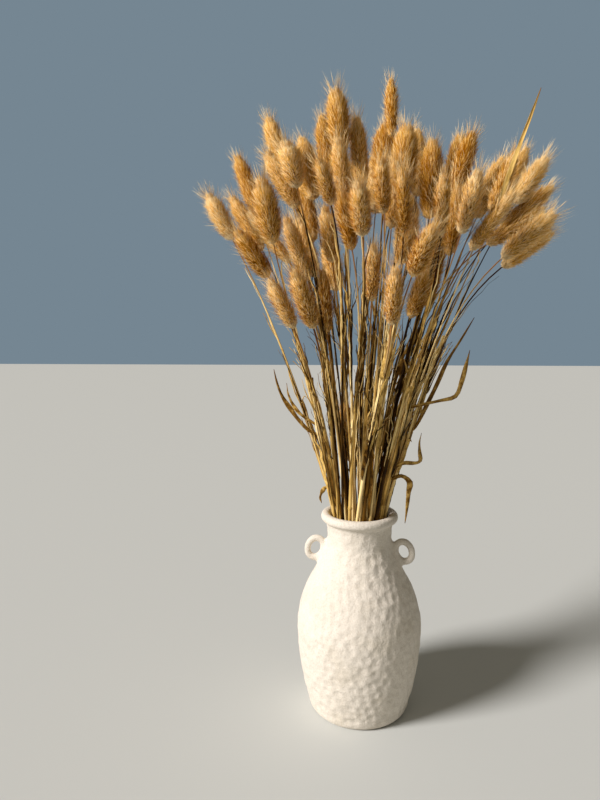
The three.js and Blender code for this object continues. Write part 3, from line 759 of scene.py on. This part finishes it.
def fur(head, settings, size, draw):
    """The soft hairs of a head, in small clumps whose hairs share a tone and lean together."""
    length = head["length"]
    clumps = int(settings.clumps * size ** 1.3)
    share = (np.arange(clumps) + draw.random(clumps)) / clumps
    which = np.repeat(np.arange(clumps), settings.clump_hairs)
    count = len(which)
    turn = (GOLDEN_ANGLE * np.arange(clumps) + draw.normal(0, CLUMPS["turn"], clumps))[which]
    tone = (head["tone"] + draw.normal(0, CLUMPS["tone"], clumps))[which] + draw.normal(0, HAIRS["tone"], count)
    tone = tone + some(PALER_HAIRS, count, draw)
    out = draw.normal(1.0, CLUMPS["reach"], clumps)[which] + draw.normal(0, HAIRS["reach"], count)
    sway = draw.normal(0, CLUMPS["sway"], clumps)[which]

    # Where the hairs end: s is a distance up the head, and r a distance out of its middle
    s_end = (-0.0016 + (length + 0.0025) * share ** 1.08)[which] + draw.normal(0, HAIRS["up"], count)
    spread = draw.normal(0, HAIRS["aside"], count) / np.maximum(fur_radius(s_end, head), 0.0025)
    stray = some(STRAY_HAIRS, count, draw)
    stray = stray * (1 - 0.7 * smoothstep(0.75, 0.95, s_end / length))
    at_end = (s_end > 0.91 * length) | (s_end < 0.03 * length)
    r_end = fur_radius(s_end, head) * out * np.where(at_end, np.sqrt(draw.uniform(0.02, 1, count)), 1) + stray
    s_end = s_end + 0.8 * stray
    up_head = np.clip(s_end / length, 0, 1)
    tone = tone + 0.15 * (1 - smoothstep(0.03, 0.20, up_head)) + 0.09 * smoothstep(0.72, 1.0, up_head)

    # Where they start and bend
    rise = settings.hair_length * size * draw.uniform(0.6, 1.1, count) * np.clip(0.32 + 0.62 * up_head, 0, 0.96)
    s_root = np.maximum(s_end - rise, draw.uniform(-0.0012, 0.0025, count))
    r_root = draw.uniform(0.30, 0.50, count) * fur_radius(np.clip(s_root, 0.0012, length), head)
    s_middle = s_root + (s_end - s_root) * draw.uniform(0.30, 0.50, count)
    r_middle = (0.30 * r_root + 0.70 * r_end) * draw.uniform(0.94, 1.06, count)

    start = spot(head, s_root, r_root, turn + 1.5 * spread - 0.5 * sway)
    middle = spot(head, s_middle, r_middle, turn + 1.3 * spread + 0.2 * sway)
    end = spot(head, s_end, r_end, turn + spread + sway)
    facing = around(head, turn + sway + draw.normal(0, HAIRS["facing"], count))
    widths = settings.hair_width * head["full"] * draw.uniform(0.7, 1.3, count)
    shading = swell(head, s_end, turn + sway) + 0.15 * facing
    # Near the head's base the hairs start further up the map and take less of the root's painted shade
    roots = 0.02 + 0.45 * (1 - smoothstep(0.02, 0.14, up_head))
    return ribbons(start, middle, end, facing, widths, np.clip(tone, *HAIR_TONE_LIMITS), shading, roots)


def bristles(head, settings, size, draw):
    """The long fine awns that stand out beyond the fur, all round and longest at the tip."""
    length = head["length"]
    count = int(settings.awns * size)
    share = draw.random(count)
    s_root = length * (0.02 + 0.95 * share ** 0.8)
    turn = draw.uniform(0, 2 * math.pi, count)
    s_end = s_root + draw.uniform(*AWNS["long"], count) * (0.75 + 0.35 * share)
    beyond = np.clip((s_end - length) / 0.014, 0, 1)
    out = draw.uniform(*AWNS["out"], count) * (1 - 0.25 * share) * (1 - 0.35 * head["back"])
    r_end = fur_radius(np.minimum(s_end, 0.9 * length), head) * (1 - 0.45 * beyond) + out
    r_root = 0.4 * fur_radius(s_root, head)
    s_middle = s_root + (s_end - s_root) * 0.45
    r_middle = r_root + (r_end - r_root) * draw.uniform(0.50, 0.72, count)
    end_turn = turn + draw.normal(0, 0.14, count)
    start, middle = spot(head, s_root, r_root, turn), spot(head, s_middle, r_middle, turn)
    facing = around(head, turn + draw.uniform(-0.6, 0.6, count))
    widths = settings.awn_width * draw.uniform(0.8, 1.25, count)
    tones = np.clip(AWN_TONE + draw.normal(0, 0.05, count), *HAIR_TONE_LIMITS)
    return ribbons(start, middle, spot(head, s_end, r_end, end_turn), facing, widths, tones, around(head, turn))


# Putting a stalk together

def write_mesh(name, parts, materials):
    """Makes one object of parts, each with its points, faces, map places, material and, for fur, normals."""
    starts = np.cumsum([0] + [len(points) for points, *_ in parts])
    points = np.vstack([part[0] for part in parts])
    faces = np.vstack([part[1] + start for part, start in zip(parts, starts)])
    places = np.vstack([part[2] for part in parts])
    kinds = np.concatenate([np.full(len(part[1]), part[3]) for part in parts])
    mesh = bpy.data.meshes.new(name)
    mesh.from_pydata(points, [], faces)
    mesh.polygons.foreach_set("material_index", kinds)
    mesh.polygons.foreach_set("use_smooth", np.ones(len(faces), bool))
    layer = mesh.uv_layers.new(name="OFBake")
    layer.data.foreach_set("uv", places[faces.ravel()].ravel())
    for material in materials:
        mesh.materials.append(material)
    mesh.update(calc_edges=True)
    mesh.validate()
    normals = np.vstack([part[4] if len(part) > 4 else np.zeros((len(part[0]), 3)) for part in parts])
    mesh.normals_split_custom_set_from_vertices(normals.tolist())
    piece = bpy.data.objects.new(name, mesh)
    bpy.context.scene.collection.objects.link(piece)
    return piece


def straw_piece(tube, points, tone, low=0.0, high=1.0, across=0.006):
    """A piece of straw with its places on the map, from low to high along it and a little across it."""
    along = low + (high - low) * tube["ring"] / (tube["rings"] - 1)
    places = np.stack([np.clip(tone + across * tube["x"], 0.505, 0.995), 0.01 + 0.98 * along], 1)
    return points, tube["faces"], places, STRAW_SIDE


def straw_tone(draw, choices, spread, shift, darkest=0.03):
    """A place on the straw's half of the map: one of the usual tones, a little off it and moved by a shift."""
    return 0.5 + float(np.clip(draw.choice(choices) + draw.normal(0, spread) + shift, darkest, 0.47))


def culm_part(tube, line, radii, tone, draw):
    """A round culm with two thicker joints."""
    places = np.linspace(0, 1, tube["rings"])
    length = np.concatenate([[0], np.cumsum(np.linalg.norm(np.diff(line, axis=0), axis=1))])
    at = places * length[-1]
    joints = []
    for share in (0.42 + 0.1 * draw.random(), 0.68 + 0.08 * draw.random()):
        ring = int(round(share * (tube["rings"] - 1)))
        at[ring - 1:ring + 2] = share * length[-1] + np.array((-0.0022, 0, 0.0022))
        joints.append(ring)
    radius = np.interp(at, length, radii)
    radius[joints] *= 1.32
    return straw_piece(tube, round_tube(tube, read_at(at, length, line), radius), tone)


def sheath_part(tube, line, radii, width, draw, heights_from, shade, hooks=0.0):
    """A dry sheath that wraps the culm at its foot and lets go of it towards its thin tip, which may hook over."""
    # shade is painted shade: sheaths at the back are made darker
    tone = straw_tone(draw, STRAW_TONES, 0.04, -shade)
    from_height = draw.uniform(*heights_from)
    long = draw.uniform(0.035, 0.115)
    t = np.linspace(0, 1, tube["rings"])
    hook = draw.uniform(0.5, 1.1) if draw.random() < hooks else 0
    heights = from_height + long * (t - hook * np.clip(t - 0.6, 0, 1) ** 2 / 0.32)
    middle = at_height(line, heights)
    radius = np.interp(heights, line[:, 2], radii)
    turn = draw.uniform(0, 2 * math.pi)
    outward = middle[0, :2] / max(np.linalg.norm(middle[0, :2]), 1e-6)
    out = unit(np.array((math.cos(turn), math.sin(turn), 0)) + 0.8 * np.array((*outward, 0)))
    lets_go = draw.uniform(0.35, 0.75)
    away = draw.uniform(0.001, 0.013) * np.clip((t - lets_go) / (1 - lets_go), 0, 1) ** 1.6
    wave = 0.0014 * np.sin(t * draw.uniform(12, 32) + draw.uniform(0, 6)) * t
    middle = middle + (radius * 1.12 + 0.0002 + away + wave)[:, None] * out
    side = unit(np.cross(out, (0, 0, 1.0)))
    middle = middle + (draw.uniform(-0.006, 0.006) * np.clip(t - lets_go, 0, 1) ** 1.3)[:, None] * side
    halves = width / 2 * draw.uniform(0.6, 1.35) * np.sin(np.pi * (0.22 + 0.78 * t) ** 0.9) ** 0.6
    halves = np.maximum(halves * smoothstep(-0.03, 0.14, t), 0.0003)
    curls = -(1 - smoothstep(lets_go - 0.1, 1.0, t)) / (1.15 * radius) * 0.9 - 120
    twist = draw.uniform(0.4, 1.6) * np.sin(t * draw.uniform(1, 7)) * t
    sides = np.cos(twist)[:, None] * side + np.sin(twist)[:, None] * out
    points = curled_strip(tube, middle, sides, halves, np.full(len(t), 0.00014), -np.abs(curls))
    return straw_piece(tube, points, tone, 0.1, 0.9, 0.012)


def leaf_part(tube, leaf, draw):
    """A dry leaf on the source's own path: curled round its length, with a wavy edge and a twist to its tip."""
    middles, halves, sides = leaf
    t = np.linspace(0, 1, tube["rings"])
    line = through(middles, t)
    half = np.interp(t * (len(halves) - 1), np.arange(len(halves)), halves)
    side = unit(read_at(t * (len(sides) - 1), np.arange(len(sides)), sides))
    along = unit(np.gradient(line, axis=0))
    normal = np.cross(along, side)
    turn = draw.uniform(-1.5, 1.5) * t ** 1.5 + 0.38 * np.sin(t * draw.uniform(5, 11) + draw.uniform(0, 6))
    side = np.cos(turn)[:, None] * side + np.sin(turn)[:, None] * normal
    wave = 0.0008 * np.sin(t * draw.uniform(8, 16) + draw.uniform(0, 6)) * t * (1 - t) * 4
    line = line + wave[:, None] * normal
    half = half * (1 + 0.12 * np.sin(t * draw.uniform(14, 24) + draw.uniform(0, 6)))
    half[0], half[-1] = max(half[0] * 0.6, 0.0008), 0.00025
    tall = smoothstep(0.45, 0.55, middles[-1, 2])
    curls = draw.choice([-1, 1]) * (160 + 240 * draw.random() + 120 * np.sin(9 * t)) * (1 + 1.4 * tall)
    points = curled_strip(tube, line, side, half, 0.00022 + 0.00012 * (1 - t), curls)
    # The high leaf is made a little paler: painted light
    tone = straw_tone(draw, LEAF_TONES, 0.02, 0.03 * tall)
    return straw_piece(tube, points, tone, 0.05, 0.95, 0.02)


def core_part(tube, head):
    """The closed core that the hairs stand on, a little paler at its base, where it can show."""
    t = np.linspace(0, 1, tube["rings"])
    s = 0.0005 + (head["length"] - 0.0065) * t
    radii = CORE_SHARE * head["full"] * head["girth"] * plumpness(0.015 + 0.97 * t, head)
    points = round_tube(tube, middle_of(head, s), radii, head["side"])
    # The core takes the dark root colour of the hair map, painted shade inside the fur; its base ring sits higher
    # on the map and is paler
    up_hair = 0.20 + 0.25 * (tube["ring"] < 1)
    places = np.stack([np.full(len(points), np.clip(head["tone"] - 0.05, 0.02, 0.48)), up_hair], 1)
    return points, tube["faces"], places, HAIR_SIDE


def read_stalk(name):
    points, triangles = merged(name)
    near = neighbours_of(len(points), triangles)
    base, tip, girth = read_head(points, near)
    along = unit(tip - base)
    line, radii = culm_line(*read_knots(points, base), base, along)
    return {"line": line, "radii": radii, "leaves": read_leaves(points, near, line), "base": base, "along": along,
            "length": float(np.linalg.norm(tip - base)), "girth": float(girth)}


def head_of(stalk, draw):
    """A head's place and form: fuller low down and at the back, and longer there, so that the bunch closes."""
    base, along, girth = stalk["base"], stalk["along"], stalk["girth"]
    side = unit(np.cross(along, (0.3, 1.0, 0.2)))
    lean = np.array((along[0], along[1], 0))
    bow = 0.0022 * (lean + draw.normal(0, 0.35, 3))
    bow = bow - along * (bow @ along)
    is_it = {"back": smoothstep(*BACK, base[1]), "crown": 1 - smoothstep(*BESIDE_CROWN, abs(base[0] - CROWN_X)),
             "low": 1 - smoothstep(*LOW, base[2]), "big": smoothstep(*BIG, girth)}
    # paler sums the painted light and shade of the tone: darker at the back and in the crown, paler for the low
    # head
    paler, full = (sum(by * is_it[what] for what, by in rule.items()) for rule in (PAINTED_LIGHT_AND_SHADE, FULLER))
    tone = draw.choice(HEAD_TONES) + draw.normal(0, 0.02) + paler
    lower = 0.0015 + 0.006 * is_it["back"] * (1 + is_it["crown"])
    return {**is_it, "base": base - lower * along, "along": along, "length": stalk["length"] + lower,
            "girth": girth, "full": 1 + full, "side": side, "other": np.cross(along, side), "bow": bow,
            "tone": float(np.clip(tone, 0.08, 0.42)), "lean": draw.uniform(0.80, 1.08),
            "blunt": draw.uniform(2.6, 3.6)}


def straw_parts(stalk, crown, settings, tubes, draw):
    """A stalk's culm, the sheaths and blades on it, and its leaves; painted shade makes its straw darker at the
    back and painted light makes it paler on the lit left side.
    """
    line = stalk["line"]
    x, y, _ = at_height(line, LOW_HEAD["height"])
    bare = abs(x - LOW_HEAD["x"]) < LOW_HEAD["half_wide"] and y < LOW_HEAD["y"]
    sheathed = 0.0 if bare else 0.38 * (1 - smoothstep(0.27, 0.36, line[:, 2]))
    radii = stalk["radii"] * settings.culm_share * (1 + sheathed)
    # Painted shade: straw at the back is made darker; painted light: culms on the left are made paler
    shade = 0.24 * smoothstep(-0.012, 0.018, at_height(line, 0.25)[1])
    lit = 0.30 * smoothstep(0.02, 0.06, -at_height(line, 0.30)[0])
    tone = straw_tone(draw, STRAW_TONES, 0.03, lit - shade, 0.04)
    parts = [culm_part(tubes["culm"], line, radii, tone, draw)]
    top = max(MOUTH, stalk["base"][2] - CLEAR)
    low, high = SHEATHS_FROM
    for _ in range(0 if bare else settings.sheaths):
        parts.append(sheath_part(tubes["strip"], line, radii, settings.sheath_width, draw, (low, min(top, high)),
                                 shade, HOOKED_SHEATHS))
    low, high = BLADES_FROM
    low = min(top, LOW_HEAD["clear_to"] if bare else low)
    for _ in range(settings.blades + round(3 * crown)):
        parts.append(sheath_part(tubes["strip"], line, radii, BLADE_SHARE * settings.sheath_width, draw,
                                 (low, min(top, high)), shade))
    return parts + [leaf_part(tubes["leaf"], leaf, draw) for leaf in stalk["leaves"]]


def hairy_head(head, settings, tube, draw):
    """A head's core, fur and awns, with more hairs the larger it is."""
    size = math.sqrt(head["length"] * head["girth"] / USUAL_HEAD)
    return [core_part(tube, head), fur(head, settings, size, draw), bristles(head, settings, size, draw)]


class DRIEDGRASS_OT_make_stalks(bpy.types.Operator):
    """Makes every stalk of the bunch: culm, sheaths, leaves and hairy head"""
    bl_idname = "dried_grass.make_stalks"
    bl_label = "Make the stalks"

    def execute(self, context):
        straws, heads = context.scene.grass_stalks, context.scene.grass_heads
        materials = [soft_hair(heads), dry_straw(straws)]
        tubes = {name: straight_tube(sides, rings) for name, sides, rings in TUBES}
        for number, name in enumerate(STALKS):
            draw = np.random.default_rng(1000 + number)
            stalk = read_stalk(name)
            head = head_of(stalk, draw)
            parts = straw_parts(stalk, head["crown"], straws, tubes, draw)
            parts += hairy_head(head, heads, tubes["core"], draw)
            piece = write_mesh(name.replace("stalk", "bunny_tail"), parts, materials)
            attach(piece, "root")
            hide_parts(name)
        return {"FINISHED"}


# The stage

def light_the_room(settings):
    """One large soft light from the left, and a weaker warm one from all round that the backdrop doesn't colour."""
    world = bpy.data.worlds.new("soft_room")
    world.use_nodes = True
    tree = world.node_tree
    tree.nodes.clear()
    fill = node(tree, "ShaderNodeBackground", {
        "Color": (*settings.fill_colour, 1), "Strength": settings.fill_strength})
    seen = node(tree, "ShaderNodeBackground", {"Color": (*settings.backdrop, 1), "Strength": 1.0})
    to_camera = node(tree, "ShaderNodeLightPath").outputs["Is Camera Ray"]
    mix = node(tree, "ShaderNodeMixShader", {0: to_camera, 1: fill.outputs[0], 2: seen.outputs[0]})
    tree.links.new(mix.outputs[0], node(tree, "ShaderNodeOutputWorld").inputs["Surface"])
    bpy.context.scene.world = world
    bpy.ops.object.light_add(type="SUN", location=(-2.5, -1.5, 2.0))
    key = bpy.context.object
    key.name = "key"
    key.data.energy = settings.key_strength
    key.data.angle = settings.key_softness
    key.data.color = settings.key_colour
    key.rotation_mode = "QUATERNION"
    key.rotation_quaternion = Vector(KEY_TOWARDS).to_track_quat("-Z", "Y")


def set_camera(scene):
    """Puts the camera where the photo was taken from."""
    bpy.ops.object.camera_add()
    camera = bpy.context.object
    camera.name = "camera"
    camera.data.sensor_width = CAMERA["sensor"]
    camera.data.lens = CAMERA["lens"]
    camera.data.clip_start, camera.data.clip_end = 0.01, 50
    round_vase, sideways, down, over = (Matrix.Rotation(math.radians(by), 4, axis) for by, axis in CAMERA["turns"])
    camera.matrix_world = round_vase @ Matrix.Translation(CAMERA["place"]) @ sideways @ down @ over
    scene.camera = camera


class DRIEDGRASS_OT_make_stage(bpy.types.Operator):
    """Makes the pale floor, the soft lights and the camera"""
    bl_idname = "dried_grass.make_stage"
    bl_label = "Make the stage"

    def execute(self, context):
        settings = context.scene.grass_stage
        bpy.ops.mesh.primitive_plane_add(size=settings.floor_size, location=(0, 0, -0.0002))
        floor = context.object
        floor.name = "floor"
        tree = new_material("pale_floor")
        finish_surface(tree, {
            "Base Color": (*settings.floor_colour, 1), "Roughness": 0.8, "Specular IOR Level": 0.2})
        floor.data.materials.append(bpy.data.materials["pale_floor"])

        light_the_room(settings)
        set_camera(context.scene)
        context.scene.view_settings.view_transform = "Standard"
        return {"FINISHED"}


class DRIEDGRASS_PT_panel(bpy.types.Panel):
    bl_label = "Dried grass"
    bl_idname = "DRIEDGRASS_PT_panel"
    bl_space_type = "VIEW_3D"
    bl_region_type = "UI"
    bl_category = "Dried grass"

    def draw(self, context):
        for operator, groups in (
            (DRIEDGRASS_OT_make_vase, (context.scene.clay_vase,)),
            (DRIEDGRASS_OT_make_stalks, (context.scene.grass_stalks, context.scene.grass_heads)),
            (DRIEDGRASS_OT_make_stage, (context.scene.grass_stage,)),
        ):
            box = self.layout.box()
            box.operator(operator.bl_idname)
            for settings in groups:
                for name in settings.__annotations__:
                    box.prop(settings, name)


SETTINGS = {
    "clay_vase": VaseSettings, "grass_stalks": StalkSettings, "grass_heads": HeadSettings,
    "grass_stage": StageSettings,
}
CLASSES = (
    *SETTINGS.values(),
    DRIEDGRASS_OT_make_vase, DRIEDGRASS_OT_make_stalks, DRIEDGRASS_OT_make_stage, DRIEDGRASS_PT_panel,
)


def register():
    for each in CLASSES:
        bpy.utils.register_class(each)
    for name, group in SETTINGS.items():
        setattr(bpy.types.Scene, name, PointerProperty(type=group))


def unregister():
    for name in SETTINGS:
        delattr(bpy.types.Scene, name)
    for each in reversed(CLASSES):
        bpy.utils.unregister_class(each)


def main():
    register()
    bpy.ops.dried_grass.make_stage()
    bpy.ops.dried_grass.make_vase()
    bpy.ops.dried_grass.make_stalks()


if __name__ == "__main__":
    main()
